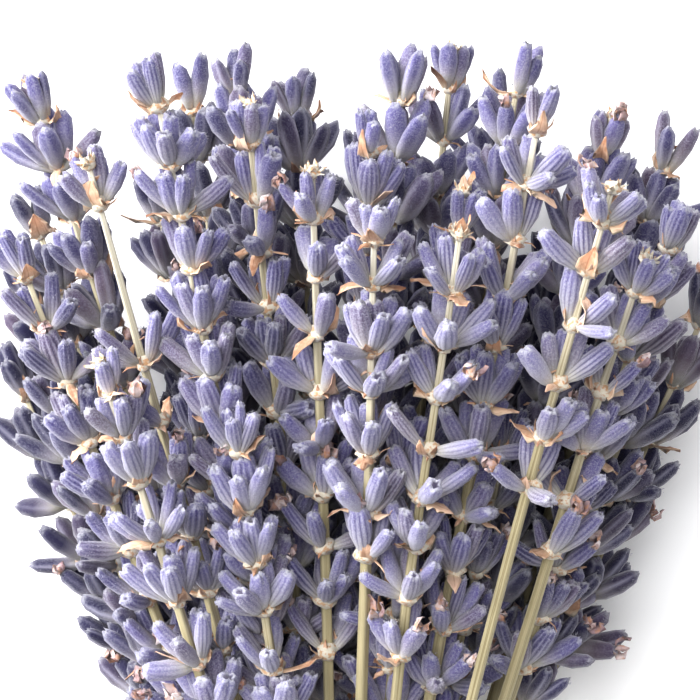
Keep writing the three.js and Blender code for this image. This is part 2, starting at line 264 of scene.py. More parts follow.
def noise(tree, size, detail=3.0, roughness=0.6):
    # Noise on Object coordinates, its size given in millimetres.
    place = tree.nodes.get("place") or tree.nodes.new("ShaderNodeTexCoord")
    place.name = "place"
    return put(tree, "TexNoise", {"Vector": place.outputs["Object"], "Scale": metre / size, "Detail": detail,
                                  "Roughness": roughness})


def stripes(tree, share, scale, detail=3.0):
    # Noise on one value, for veins and streaks that follow a sheet or a stem.
    return put(tree, "TexNoise", {"Scale": scale, "Detail": detail, "W": share}, noise_dimensions="1D")


def calculate(tree, operation, a, b=0.0, c=0.0):
    return put(tree, "Math", {0: a, 1: b, 2: c}, operation=operation)


def ramp(tree, share, stops):
    # A stop is a place and a colour there, or one number for a grey.
    node = tree.nodes.new("ShaderNodeValToRGB")
    tree.links.new(share, node.inputs[0])
    elements = node.color_ramp.elements
    while len(elements) < len(stops):
        elements.new(0.5)
    for element, (at, colour) in zip(elements, stops):
        element.position = at
        element.color = (*(colour if isinstance(colour, tuple) else (colour,) * 3), 1)
    return node.outputs[0]


def blended(tree, share, a, b, how="MIX"):
    # Of the node's inputs, 6 and 7 are its two colours, and of its outputs 2 is the colour.
    node = tree.nodes.new("ShaderNodeMix")
    node.data_type = "RGBA"
    node.blend_type = how
    for socket, value in ((0, share), (6, a), (7, b)):
        if isinstance(value, bpy.types.NodeSocket):
            tree.links.new(value, node.inputs[socket])
        else:
            node.inputs[socket].default_value = (*value, 1)
    return node.outputs[2]


def layered(tree, colour, share, layer, how="MIX", times=None):
    # A layer is its colour and the stops that the share is read through. times thins it further.
    paint, stops = layer
    share = ramp(tree, share, stops)
    if times:
        share = calculate(tree, "MULTIPLY", share, times)
    return blended(tree, share, colour, paint, how)


def finish(name, build, roughness, sheen=0.0, sheenTint=(1, 1, 1), relief=0.0, gloss=0.25,
           sheenRoughness=0.45):
    # build gives the colour and the height that the relief reads. relief is in millimetres.
    material = bpy.data.materials.new(name)
    material.use_nodes = True
    tree = material.node_tree
    shader = tree.nodes["Principled BSDF"]
    colour, height = build(tree)
    tree.links.new(colour, shader.inputs["Base Color"])
    shader.inputs["Roughness"].default_value = roughness
    shader.inputs["Specular IOR Level"].default_value = gloss
    shader.inputs["Sheen Weight"].default_value = sheen
    shader.inputs["Sheen Roughness"].default_value = sheenRoughness
    shader.inputs["Sheen Tint"].default_value = (*sheenTint, 1)
    if relief:
        normal = put(tree, "Bump", {"Height": height, "Distance": relief * mm, "Strength": 1.0})
        tree.links.new(normal, shader.inputs["Normal"])
    return material


# A finish: its layers, each a colour and its stops, and its grains, each a size in millimetres and a detail.
calyxFinish = {
    # The tones run from lit to deep: the deep end is painted shade for the lower rows.
    "tones": [(0.0, (0.345, 0.322, 0.43)), (0.5, (0.163, 0.142, 0.302)), (1.0, (0.026, 0.0215, 0.066))],
    "dry": ((0.21, 0.15, 0.16), [(0.72, 0), (1.0, 0.8)]),
    "belowRim": ((0.50, 0.47, 0.80), [(0.4, 0), (0.84, 0.9)]),
    # The second foot colour is the cream-green foot in painted shade, for the lower rows.
    "base": (0.62, 0.595, 0.47), "baseInShade": (0.38, 0.36, 0.29), "foot": [(0.0, 1), (0.2, 0.88), (0.6, 0)],
    "greyer": ((0.37, 0.345, 0.37), [(0.12, 0), (0.4, 1)]),
    "felt": ((0.485, 0.485, 0.575), [(0.46, 0), (0.66, 1)]), "feltGrain": (0.2, 5.0, 0.8),
    # The felt dims with the painted shade of the lower rows.
    "feltFadeInShade": (-0.6, 0.88),
    "specks": ((0.58, 0.585, 0.625), [(0.56, 0), (0.68, 0.6)]), "speckGrain": (0.11, 2.0, 0.7),
    "ridge": ((0.475, 0.466, 0.565), [(0.5, 0), (1.0, 0.5)]),
    "groove": ((0.272, 0.26, 0.432), [(0.0, 0.85), (0.5, 0)]),
    # The rim's pale tufts dim with the painted shade of the lower rows.
    "rim": ((0.58, 0.585, 0.62), [(0.925, 0), (0.975, 1)]), "rimFadeInShade": (-0.5, 1),
    "tufts": [(0.36, 0.15), (0.6, 0.85)], "tuftGrain": (0.35, 3.0),
    # Painted shade: the inside of the open mouth is painted near black.
    "inside": ((0.075, 0.06, 0.12), [(0.15, 0), (0.5, 0.95)]), "reliefGrain": (0.12, 2.0),
}


def calyxColour(tree):
    # Cream-green at the foot, violet on the body, deepest just below the pale rim of the mouth. Grooves
    # darken it, ridges, a felt of short hairs and fine specks lighten it, and some calyces are drier and
    # browner. The tone mark paints shade on the lower rows: a darker body and foot, less felt, fewer specks
    # and a dimmer rim. The open mouth is painted dark inside, as painted shade.
    c = calyxFinish
    tone, along = mark(tree, "tone"), mark(tree, "along")
    # Painted shade: the body's tone ramp runs dark on the lower rows.
    body = layered(tree, ramp(tree, tone, c["tones"]), mark(tree, "dry"), c["dry"])
    body = layered(tree, body, along, c["belowRim"], "MULTIPLY")
    # Painted shade: the foot darkens with the tone towards its shaded copy.
    base = layered(tree, blended(tree, tone, c["base"], c["baseInShade"]), along, c["greyer"])
    colour = blended(tree, ramp(tree, along, c["foot"]), body, base)
    # Painted shade: less felt where the tone is dark.
    feltShadeFade = calculate(tree, "MULTIPLY_ADD", tone, *c["feltFadeInShade"])
    colour = layered(tree, colour, noise(tree, *c["feltGrain"]), c["felt"], times=feltShadeFade)
    # Painted shade: the specks fade on the darker rows.
    colour = layered(tree, colour, noise(tree, *c["speckGrain"]), c["specks"], times=mark(tree, "near"))
    colour = layered(tree, colour, mark(tree, "rib"), c["ridge"])
    colour = layered(tree, colour, mark(tree, "rib"), c["groove"], "MULTIPLY")
    tufts = ramp(tree, noise(tree, *c["tuftGrain"]), c["tufts"])
    # Painted shade: a dimmer rim where the tone is dark.
    tufts = calculate(tree, "MULTIPLY", tufts, calculate(tree, "MULTIPLY_ADD", tone, *c["rimFadeInShade"]))
    colour = layered(tree, colour, along, c["rim"], times=tufts)
    # Painted shade in the open mouth; the same mark gives the stems' pale pith at the cut end.
    return layered(tree, colour, mark(tree, "hole"), c["inside"]), noise(tree, *c["reliefGrain"])


hairTones = [(0.0, (0.22, 0.21, 0.32)), (1.0, (0.84, 0.83, 0.88))]


def hairColour(tree):
    # The tone mark darkens the hairs of the lower rows, as painted shade.
    return ramp(tree, mark(tree, "tone"), hairTones), None


woolFinish = {
    "patches": [(0.35, (0.66, 0.60, 0.48)), (0.48, (0.72, 0.68, 0.59)), (0.58, (0.58, 0.37, 0.22))],
    "patchGrain": (0.5, 4.0), "reliefGrain": (0.14, 2.0),
}


def woolColour(tree):
    # Cream wool with tan patches.
    patches = ramp(tree, noise(tree, *woolFinish["patchGrain"]), woolFinish["patches"])
    return patches, noise(tree, *woolFinish["reliefGrain"])


bractFinish = {
    "tones": [(0.0, (0.22, 0.095, 0.055)), (0.35, (0.46, 0.22, 0.125)), (0.75, (0.66, 0.39, 0.26)),
              (1.0, (0.78, 0.56, 0.44))],
    "foot": ((0.82, 0.73, 0.55), [(0.0, 0.8), (0.35, 0.2), (1.0, 0)]),
    "edge": ((0.84, 0.74, 0.60), [(0.72, 0), (1.0, 0.6)]),
    "blotches": ((0.82, 0.60, 0.45), [(0.46, 0), (0.64, 0.5)]), "blotchGrain": (0.9, 4.0),
    "veins": ((0.52, 0.34, 0.24), [(0.36, 0.5), (0.52, 0)]), "veinScale": 5.0,
}


def bractColour(tree):
    # Papery rust, paler towards the foot, at the edges and in blotches, with faint uneven veins.
    c = bractFinish
    across = mark(tree, "across")
    # The tone mark holds painted shade for the bracts behind.
    colour = layered(tree, ramp(tree, mark(tree, "tone"), c["tones"]), mark(tree, "along"), c["foot"])
    colour = layered(tree, colour, calculate(tree, "ABSOLUTE", across), c["edge"])
    colour = layered(tree, colour, noise(tree, *c["blotchGrain"]), c["blotches"])
    veins = stripes(tree, across, c["veinScale"])
    return layered(tree, colour, veins, c["veins"], "MULTIPLY"), veins


stemFinish = {
    "straw": [(0.3, (0.26, 0.22, 0.125)), (0.5, (0.385, 0.335, 0.205)), (0.7, (0.52, 0.47, 0.32))],
    "cream": [(0.3, (0.48, 0.44, 0.35)), (0.5, (0.60, 0.565, 0.48)), (0.7, (0.69, 0.66, 0.59))],
    "streaksRound": 3.0, "streakGrain": (5.0, 3.0), "streakScale": 2.2,
    "groove": ((0.62, 0.55, 0.42), [(0.0, 0.4), (0.6, 0)]),
    "specks": ((0.42, 0.34, 0.24), [(0.62, 0), (0.8, 0.5)]), "speckGrain": (0.5, 4.0),
    "pith": ((0.86, 0.82, 0.70), [(0.3, 0), (0.8, 0.8)]), "reliefGrain": (0.3, 2.0),
}


def stemColour(tree):
    # Straw with green and brown streaks along it, darker in the grooves, that turns cream in the spike, and
    # less so in the lower rows, as painted shade.
    c = stemFinish
    around = calculate(tree, "MULTIPLY", mark(tree, "around"), c["streaksRound"])
    streaks = stripes(tree, calculate(tree, "ADD", around, noise(tree, *c["streakGrain"])), c["streakScale"])
    straw, cream = ramp(tree, streaks, c["straw"]), ramp(tree, streaks, c["cream"])
    colour = blended(tree, mark(tree, "upper"), straw, cream)
    colour = layered(tree, colour, mark(tree, "rib"), c["groove"], "MULTIPLY")
    colour = layered(tree, colour, noise(tree, *c["speckGrain"]), c["specks"])
    return layered(tree, colour, mark(tree, "hole"), c["pith"]), noise(tree, *c["reliefGrain"])


petalFinish = {
    "tones": [(0.0, (0.30, 0.21, 0.23)), (0.4, (0.46, 0.34, 0.33)), (0.75, (0.64, 0.53, 0.52)),
              (1.0, (0.80, 0.74, 0.76))],
    "rust": ((0.55, 0.29, 0.16), [(0.50, 0), (0.64, 0.75)]), "rustGrain": (0.9, 3.0),
    "folds": ((0.50, 0.34, 0.34), [(0.38, 0.6), (0.52, 0)]), "foldGrain": (0.7, 3.0),
    "reliefGrain": (0.2, 3.0),
}


def petalColour(tree):
    # Shrivelled petals: pale lilac grey to brown, with rust patches and darker folds.
    c = petalFinish
    colour = ramp(tree, mark(tree, "tone"), c["tones"])
    colour = layered(tree, colour, noise(tree, *c["rustGrain"]), c["rust"])
    colour = layered(tree, colour, noise(tree, *c["foldGrain"]), c["folds"], "MULTIPLY")
    return colour, noise(tree, *c["reliefGrain"])


twineFinish = {
    "fibres": [(0.3, (0.36, 0.24, 0.12)), (0.5, (0.56, 0.41, 0.23)), (0.72, (0.72, 0.57, 0.36))],
    "fibreGrain": (0.6, 4.0), "reliefGrain": (0.15, 3.0),
    # The groove darkens the sides of the strands that face in, as painted shade.
    "groove": ((0.45, 0.38, 0.30), [(0.0, 0.8), (0.5, 0)]),
}


def twineColour(tree):
    # Tan fibres, with painted shade in the grooves between the strands.
    c = twineFinish
    colour = ramp(tree, noise(tree, *c["fibreGrain"]), c["fibres"])
    return layered(tree, colour, mark(tree, "rib"), c["groove"], "MULTIPLY"), noise(tree, *c["reliefGrain"])


lilac = (0.93, 0.92, 0.97)
cream = (0.95, 0.92, 0.85)
calyxFelt = finish("calyxFelt", calyxColour, roughness=0.75, sheen=0.6, sheenTint=lilac, relief=0.12)
calyxHair = finish("calyxHair", hairColour, roughness=0.6)
nodeWool = finish("nodeWool", woolColour, roughness=0.85, sheen=0.4, sheenTint=cream, relief=0.08)
bractPaper = finish("bractPaper", bractColour, roughness=0.6, sheen=0.15, sheenTint=cream, relief=0.04)
stemStraw = finish("stemStraw", stemColour, roughness=0.5, sheen=0.1, sheenTint=cream, relief=0.03)
driedPetal = finish("driedPetal", petalColour, roughness=0.7, sheen=0.2, relief=0.06)
twineFibre = finish("twineFibre", twineColour, roughness=0.8, sheen=0.3, sheenTint=cream, relief=0.06)
print("finishes are ready")

# Whorls: how far apart they stand, and the heights from the tie of those that the front spikes carry. Long
# spikes in the upper rows go on down to a given height. Some end in a bare tip, at its height from the tie.
whorls = {
    "seed": 7, "step": 5.7, "stepSpread": 0.8, "fewest": 3, "first": 0.6, "fromTip": 5.2, "crosswise": 90,
    "downFromRow": 3, "downTo": 55, "downStep": 6.2,
    "given": {
        (6, 0): [48.8, 54.6, 61.4, 68.0, 74.2, 79.0, 83.6],
        (6, 1): [48.4, 54.0, 60.4, 65.5, 71.2, 77.4],
        (6, 2): [66.4, 71.0, 77.2, 83.8, 87.9, 94.8, 99.3],
        (6, 3): [55.6, 61.8, 67.4, 72.5, 77.6, 83.1, 88.5, 93.9],
        (6, 4): [73.6, 78.9, 84.6, 90.6, 96.2, 101.2],
        (5, 0): [55.8, 62.2, 68.4, 74.0, 80.4, 86.6, 103.2],
        (5, 2): [55.4, 61.2, 67.0, 72.6, 78.0, 83.6, 89.8, 95.8, 101.8],
        (5, 5): [66.6, 72.0, 77.8, 83.6, 88.8, 94.2],
    },
    "sparse": {(6, 3), (6, 4), (5, 0), (5, 2), (5, 5)},
    "bareTips": {
        (6, 0): 87.4, (6, 3): 100.7, (6, 4): 105.4, (5, 0): 108.2, (5, 2): 107.3, (5, 5): 98.3,
        (4, 2): 114.6, (4, 4): 105.8, (3, 1): 117.6, (3, 6): 113.8, (2, 5): 121.6,
    },
    "rustTips": {(6, 3), (4, 4), (3, 6)},
}


def whorlHeights():
    # Steps of about 6 mm, each drawn a little shorter or longer, from the foot of the spike to near its tip.
    heights = []
    for i, key in enumerate(stemKeys):
        rng = np.random.default_rng(whorls["seed"] + i)
        start, end = stems["spikeStart"][i] + whorls["first"], stems["reach"][i] - whorls["fromTip"]
        if key[0] >= whorls["downFromRow"]:
            start -= whorls["downStep"] * max(0, math.ceil((start - whorls["downTo"]) / whorls["downStep"]))
        steps = max(whorls["fewest"], round((end - start) / whorls["step"]))
        drawn = np.cumsum(rng.uniform(-1, 1, steps) * whorls["stepSpread"] + (end - start) / steps)
        drawn = start + np.concatenate([[0], drawn * (end - start) / drawn[-1]])
        heights.append(np.array(whorls["given"].get(key, drawn)))
    return heights


heightsOf = whorlHeights()
whorlStem = np.repeat(np.arange(stemCount), [len(heights) for heights in heightsOf])
whorlPlace = np.concatenate([np.arange(len(heights)) for heights in heightsOf])
whorlLast = np.concatenate([np.arange(len(heights)) == len(heights) - 1 for heights in heightsOf])
whorlY = np.concatenate(heightsOf)
whorlTurns = stems["turn"][whorlStem] + np.radians(whorlPlace * whorls["crosswise"])

# Calyces: two opposite clusters a whorl, crosswise to those of the next whorl, with some of them missing.
calyces = {
    "seed": 11, "inCluster": 4, "opposite": 180, "frontFrom": 4, "apart": 34, "apartJitter": 14,
    "heightJitter": 0.25,
    "missing": 0.02, "missingInFront": 0.17, "missingInSparse": 0.42, "missingOnTop": 0.5, "unevenness": 0.8,
    "lean": 25, "outerLean": 8, "sparseLean": 9, "leanJitter": 14, "topLean": 14, "topLeanJitter": 7,
    "stray": 0.08, "strayLean": 66, "strayLeanJitter": 12, "whorlJitter": 26, "whorlLean": 9,
    "foot": 0.55, "length": 5.8, "lengthSpread": 0.75, "whorlSize": 0.08,
    "halfWidth": 1.07, "halfWidthSpread": 0.15, "flatness": 0.82, "flatnessSpread": 0.14,
    # The base tone and its step per row paint shade on the lower rows, the paler tips are painted light, and
    # only the spread differs at random.
    "largerBehind": 1.1, "smallOnTop": 0.84, "tone": 1.75, "shadeStepPerRow": 0.265, "toneSpread": 0.18,
    "tipLight": 0.75, "tipLightFrom": 84, "tipLightOver": 26,
}


def growCalyces():
    # A calyx stands on the stem's line at its turn round it, and leans out from it by an angle. Those of the
    # lower rows are darker, as painted shade, and painted light makes them paler towards the tips.
    rng = np.random.default_rng(calyces["seed"])
    many = 2 * calyces["inCluster"]
    whorl = np.repeat(np.arange(len(whorlY)), many)
    member = np.tile(np.arange(many), len(whorlY))
    inFront = stems["row"][whorlStem[whorl]] >= calyces["frontFrom"]
    sparse = np.array([key in whorls["sparse"] for key in stemKeys])[whorlStem[whorl]]
    uneven = 1 + calyces["unevenness"] * rng.uniform(-1, 1, len(whorlY))[whorl]
    missing = np.where(inFront, calyces["missingInFront"] * uneven, calyces["missing"])
    missing = np.where(sparse, calyces["missingInSparse"], missing)
    missing = np.where(whorlLast[whorl] & ~sparse, calyces["missingOnTop"], missing)
    kept = rng.uniform(0, 1, len(whorl)) > missing
    whorl, member, inFront, sparse = whorl[kept], member[kept], inFront[kept], sparse[kept]
    stem, last = whorlStem[whorl], whorlLast[whorl]
    (turnDraw, leanDraw, strayDraw, heightDraw,
     lengthDraw, widthDraw, flatDraw, toneDraw) = rng.uniform(-1, 1, (8, len(whorl)))
    whorlTurn = rng.uniform(-1, 1, len(whorlY)) * np.radians(calyces["whorlJitter"])
    whorlLean = rng.uniform(-1, 1, len(whorlY)) * calyces["whorlLean"]
    size = np.where(inFront, 1, calyces["largerBehind"]) * np.where(last, calyces["smallOnTop"], 1)
    size = size * (1 + calyces["whorlSize"] * rng.uniform(-1, 1, len(whorlY)))[whorl]
    cluster = member // calyces["inCluster"]
    inside = member % calyces["inCluster"] - (calyces["inCluster"] - 1) / 2
    turn = whorlPlace[whorl] * whorls["crosswise"] + cluster * calyces["opposite"]
    turn = stems["turn"][stem] + turn * np.pi / 180
    turn += whorlTurn[whorl] + np.radians(inside * calyces["apart"] + turnDraw * calyces["apartJitter"])
    lean = calyces["lean"] + calyces["outerLean"] * (np.abs(inside) - 1) + leanDraw * calyces["leanJitter"]
    lean = lean + whorlLean[whorl] + calyces["sparseLean"] * sparse
    lean = np.where(last & ~sparse, calyces["topLean"] + calyces["topLeanJitter"] * leanDraw, lean)
    stray = (strayDraw > 1 - 2 * calyces["stray"]) & ~last
    lean = np.where(stray, calyces["strayLean"] + calyces["strayLeanJitter"] * leanDraw, lean)
    place, along, up, side = standOn(stem, whorlY[whorl] + calyces["heightJitter"] * heightDraw)
    out = turned(up, side, turn)
    # Painted shade: the tone darkens by a step for each row lower down, and painted light makes the lower
    # rows paler near the tips.
    topRow = len(bunch["rows"]) - 1
    nearTip = np.clip((whorlY[whorl] - calyces["tipLightFrom"]) / calyces["tipLightOver"], 0, 1)
    paler = calyces["tipLight"] * (topRow - stems["row"][stem]) / topRow * nearTip
    tone = calyces["tone"] - calyces["shadeStepPerRow"] * stems["row"][stem] - paler
    tone = tone + calyces["toneSpread"] * toneDraw
    return {
        "stem": stem, "along": along, "tone": tone, "foot": place + out * calyces["foot"],
        "axis": turned(along, out, np.radians(lean)),
        "length": (calyces["length"] + lengthDraw * calyces["lengthSpread"]) * size,
        "wide": (calyces["halfWidth"] + widthDraw * calyces["halfWidthSpread"]) * size,
        "flat": calyces["flatness"] + flatDraw * calyces["flatnessSpread"],
    }


# Room between the calyces: round probes stand at shares of a calyx's length, with shares of its half width.
room = {
    "shares": [0.55, 0.86], "radii": [0.93, 0.84], "rounds": 30, "give": 0.35, "back": 0.04,
    "posts": 40, "postRadius": 0.5, "overSurface": 0.8, "nearCalyx": 4.5, "nearPost": 3.5, "batch": 400,
}


def makeRoom(c):
    # Calyces that would stand in each other, in a neighbour's stem or in the surface give way: the overlap of
    # round probes at the belly and near the mouth turns each one's direction, and it leans back to where it
    # grew.
    shares = np.array(room["shares"])
    grown = c["axis"].copy()
    count = len(grown)
    owner = np.tile(np.arange(count), len(shares))
    radius = np.concatenate([c["wide"] * share for share in room["radii"]])
    leverage = np.repeat(shares, count) / np.tile(c["length"], len(shares))
    postY = np.linspace(0, 1, room["posts"])[None] * stems["reach"][:, None]
    posts = lineAt(stems, postY).reshape(-1, 3)
    postStem = np.repeat(np.arange(stemCount), room["posts"])

    def probes():
        return np.concatenate([c["foot"] + c["axis"] * (c["length"] * share)[:, None] for share in shares])

    def nearPairs(others, reach, counts):
        # Pairs of a probe and another place within reach of it, searched in batches.
        start, found = probes(), []
        for low in range(0, len(start), room["batch"]):
            gaps = np.linalg.norm(start[low:low + room["batch"], None] - others[None], axis=-1)
            a, b = np.nonzero(gaps < reach)
            a += low
            found.append(np.stack([a, b])[:, counts(a, b)])
        return np.concatenate(found, 1)

    def overlaps(between, reach, least=0.1):
        distance = np.linalg.norm(between, axis=1)
        return between * (np.maximum(reach - distance, 0) / np.maximum(distance, least))[:, None]

    a, b = nearPairs(probes(), room["nearCalyx"], lambda a, b: (a < b) & (owner[a] != owner[b]))
    p, q = nearPairs(posts, room["nearPost"], lambda p, q: c["stem"][owner[p]] != postStem[q])
    for _ in range(room["rounds"]):
        now = probes()
        push = np.zeros_like(now)
        shift = overlaps(now[a] - now[b], radius[a] + radius[b]) / 2
        np.add.at(push, a, shift)
        np.add.at(push, b, -shift)
        np.add.at(push, p, overlaps(now[p] - posts[q], radius[p] + room["postRadius"]))
        push[:, 2] += np.maximum(radius * room["overSurface"] - now[:, 2], 0)
        moved = (push * leverage[:, None]).reshape(len(shares), count, 3).sum(0)
        c["axis"] = unit(c["axis"] + room["give"] * moved + room["back"] * (grown - c["axis"]))
    return c


calyxList = makeRoom(growCalyces())
print("calyces:", len(calyxList["stem"]), "in", len(whorlY), "whorls")

# A calyx: its ribs, dents and mouth. A dent is its depth and how often it waves round and along the calyx.
# The stations along a calyx, its outline there, and its sides, ribs and hairs are finer in the front rows.
calyxShape = {
    "seed": 1000, "dents": [(0.12, 2, 3.2), (0.07, 3, 7)], "twist": 0.4, "bend": 0.5, "sag": 0.4,
    # Specks show only where the tone is light, so they fade in the painted shade of the lower rows.
    "ribsBetween": (0.06, 0.97), "ribDraw": (0.1, 1.2), "footDepth": 0.05, "nearTone": 1.3, "leastNear": 0.1,
    "mouthFrom": 0.9, "lobes": 5, "lips": 0.17, "lipDraw": 0.7, "rim": 0.14, "rimWaves": 3, "rimDraw": 0.8,
    # How dark the open mouth is painted inside, as painted shade.
    "shut": 0.42, "mostlyShut": 2.6, "mouthDepth": 0.7, "shutDepth": 0.1, "mouthShade": 2,
    # The hair tones of the rows behind run darker, as painted shade.
    "front": {
        "stations": [0.02, 0.2, 0.46, 0.74, 0.93, 1.0], "outline": [0.4, 0.72, 1.0, 0.96, 0.76, 0.58],
        "sides": 22, "ribs": 11, "ribHeight": 0.06, "hairs": 40, "hairThickness": 1, "hairToneAndShade": (0.4, 1),
    },
    "behind": {
        "stations": [0.02, 0.3, 0.6, 0.86, 1.0], "outline": [0.42, 0.86, 1.0, 0.84, 0.54],
        "sides": 12, "ribs": 4, "ribHeight": 0.0, "hairs": 8, "hairThickness": 1.6, "hairToneAndShade": (0, 0.6),
    },
}


def calyxSkins(c, detail, rng):
    # Radius = half width * outline(station) * (1 + rib + dents + lips). A rib rises and falls once in two
    # sides, the dents are slow waves round and along the calyx, and the lips fold the mouth in lobes, whose
    # rim also rises and falls. The path bends up as it goes, and the sides twist a little. The mouth is a
    # hollow: one draw, small for most calyces, says how far it is open, and so how wide and deep it is, and
    # how dark it is painted inside, as painted shade. The mark near is high on the calyces with little
    # painted shade, those of the rows nearer the top.
    shape = calyxShape
    outline = np.array(detail["outline"])
    count, sides = len(c["stem"]), detail["sides"]
    length, halfWidth, tone = c["length"][:, None, None], c["wide"][:, None, None], c["tone"][:, None, None]
    bend = shape["bend"] * np.cross(np.cross(c["axis"], c["along"]), c["axis"]) * c["length"][:, None]
    s = np.array(detail["stations"])[None, :, None]
    straight = c["foot"][:, None] + c["axis"][:, None] * length * s
    centres = straight + bend[:, None] * (s * s - s) * shape["sag"]
    direction = unit(np.gradient(centres, axis=1))
    wide = unit(np.broadcast_to(np.cross(c["along"], c["axis"])[:, None], centres.shape))
    thick = unit(np.cross(direction, wide))
    turn = evenTurns(sides)
    phase = rng.uniform(0, 2 * np.pi, (5, count, 1, 1))
    ribbed = np.sin(np.pi * np.clip(s, *shape["ribsBetween"])) ** 0.5 * np.cos(turn * detail["ribs"])
    ribbed = ribbed * rng.uniform(*shape["ribDraw"], (count, 1, 1))
    dents = 0
    for (depth, around, down), first, second in zip(shape["dents"], phase[0:4:2], phase[1:4:2]):
        dents = dents + depth * np.sin(around * turn + first) * np.sin(down * s + second)
    mouth = s > shape["mouthFrom"]
    folds = np.cos(shape["lobes"] * turn + phase[4])
    folds = folds + rng.uniform(-shape["lipDraw"], shape["lipDraw"], (count, 1, sides))
    opened = rng.uniform(0, 1, (count, 1, 1)) ** shape["mostlyShut"]
    radius = outline[:, None] * (1 + detail["ribHeight"] * ribbed + dents + mouth * shape["lips"] * folds)
    radius = radius * halfWidth * np.where(s == 1, shape["shut"] + (1 - shape["shut"]) * opened, 1)
    twisted = turn + shape["twist"] * rng.uniform(-1, 1, (count, 1, 1)) * s
    lowPole = centres[:, 0] - direction[:, 0] * shape["footDepth"]
    highPole = centres[:, -1] - direction[:, -1] * shape["mouthDepth"] * (shape["shutDepth"] + opened[:, 0])
    skin = skins(centres, wide, thick, radius * np.cos(twisted),
                 radius * c["flat"][:, None, None] * np.sin(twisted), lowPole, highPole,
                 along=s, rib=0.5 + 0.5 * ribbed, tone=tone, hole=0.0,
                 near=np.clip(shape["nearTone"] - tone, shape["leastNear"], 1),
                 dry=rng.uniform(0, 1, (count, 1, 1)))
    rim = np.sin(shape["rimWaves"] * turn + phase[1])
    rim = mouth * shape["rim"] * (rim + rng.uniform(-shape["rimDraw"], shape["rimDraw"], (count, 1, sides)))
    shift = (direction[:, :, None] * rim[..., None]).reshape(count, -1, 3)
    skin["points"].reshape(count, -1, 3)[:, :-2] += shift
    # Painted shade: the pole of the open mouth is marked dark.
    markPole(skin, count, "hole", -1, np.minimum(1, shape["mouthShade"] * opened[:, 0, 0]))
    return skin, (centres, direction, wide, thick)


calyxDown = {
    "length": 0.31, "lengthDraw": (0.5, 1.5), "width": 0.024, "from": 0.08, "toMouth": 0.5, "root": 0.96,
    "lean": 0.9, "spread": 0.25,
}


def calyxHairs(c, detail, path, rng):
    # Short hairs that stand out from the calyx and lean towards its mouth, thickest at the mouth.
    centres, direction, wide, thick = path
    outline, many = np.array(detail["outline"]), detail["hairs"]
    count, rings = centres.shape[:2]
    at = rng.uniform(calyxDown["from"], 1, (count, many)) ** calyxDown["toMouth"] * (rings - 1)
    low = np.minimum(at.astype(int), rings - 2)
    share = (at - low)[..., None]
    row = np.arange(count)[:, None]
    place = centres[row, low] * (1 - share) + centres[row, low + 1] * share
    radius = outline[low] * (1 - share[..., 0]) + outline[low + 1] * share[..., 0]
    turn = rng.uniform(0, 2 * np.pi, (count, many, 1))
    radial = wide[row, low] * np.cos(turn) + thick[row, low] * np.sin(turn) * c["flat"][:, None, None]
    place = place + radial * (radius * c["wide"][:, None] * calyxDown["root"])[..., None]
    lean = radial + direction[row, low] * rng.uniform(0, calyxDown["lean"], (count, many, 1))
    lean = lean + rng.normal(0, calyxDown["spread"], (count, many, 3))
    lengths = calyxDown["length"] * rng.uniform(*calyxDown["lengthDraw"], (count, many))
    widths = np.full(count * many, calyxDown["width"] * detail["hairThickness"])
    # Hairs of the rows behind draw darker tones, as painted shade.
    return thorns(place.reshape(-1, 3), unit(lean.reshape(-1, 3)), lengths.ravel(), widths,
                  tone=rng.uniform(*detail["hairToneAndShade"], count * many))


# Sheets: the outlines of broad bracts, narrow ones and dried petals. A crease is its height and how often it
# waves across and along the sheet.
sheets = {
    "bract": {"stations": [0.0, 0.14, 0.34, 0.56, 0.78, 1.0], "outline": [0.35, 0.9, 1.0, 0.82, 0.52, 0.12],
              "sides": 8, "crease": 0.3},
    "narrow": {"stations": [0.0, 0.3, 0.7, 1.0], "outline": [0.6, 1.0, 0.7, 0.15], "sides": 6, "crease": 0.3},
    "petal": {"stations": [0.0, 0.3, 0.65, 1.0], "outline": [0.5, 0.9, 1.0, 0.5], "sides": 8, "crease": 0.6},
    "thickness": 0.05, "ragged": 0.32, "tip": 0.1, "creases": [(1, 3.4, 6), (0.5, 6, -9)],
}


def sheetSkins(foot, axis, out, lean, length, halfWidth, curl, cup, rng, kind="bract", lightShare=1.0):
    # A thin sheet as a flattened skin: its path turns by the curl as it goes. Across it the sheet bends by
    # the cup times the square of the share of its half width, and two creases run over it as slanting sines.
    # The edge is ragged by a draw.
    sheet = sheets[kind]
    stations, outline, sides = np.array(sheet["stations"]), np.array(sheet["outline"]), sheet["sides"]
    count, rings = len(foot), len(stations)
    half = halfWidth[:, None, None]
    step = unit(turned(axis[:, None], out[:, None], lean[:, None] - curl[:, None] * stations[None]))
    middle = (step[:, 1:] + step[:, :-1]) / 2 * np.diff(stations)[None, :, None] * length[:, None, None]
    path = foot[:, None] + np.concatenate([np.zeros((count, 1, 3)), np.cumsum(middle, 1)], 1)
    across = np.broadcast_to(unit(np.cross(axis, out))[:, None], path.shape)
    turn = evenTurns(sides)
    ragged = 1 + sheets["ragged"] * rng.uniform(-1, 1, (count, rings, sides))
    reach = outline[None, :, None] * half * np.cos(turn) * ragged
    share, along = reach / half, stations[:, None]
    phases = rng.uniform(0, 2 * np.pi, (2, count, 1, 1))
    crease = along * sum(high * np.sin(over * share + down * along + phase)
                         for (high, over, down), phase in zip(sheets["creases"], phases))
    bend = sheet["crease"] * crease - cup[:, None, None] * share ** 2
    lift = sheets["thickness"] * np.sin(turn) + half * bend
    # A light share below one darkens the sheet's tone, as painted shade.
    return skins(path, across, np.cross(step, across), reach, lift, path[:, 0],
                 path[:, -1] + step[:, -1] * sheets["tip"], along=along, across=np.cos(turn),
                 tone=lightShare * rng.uniform(0, 1, (count, 1, 1)))


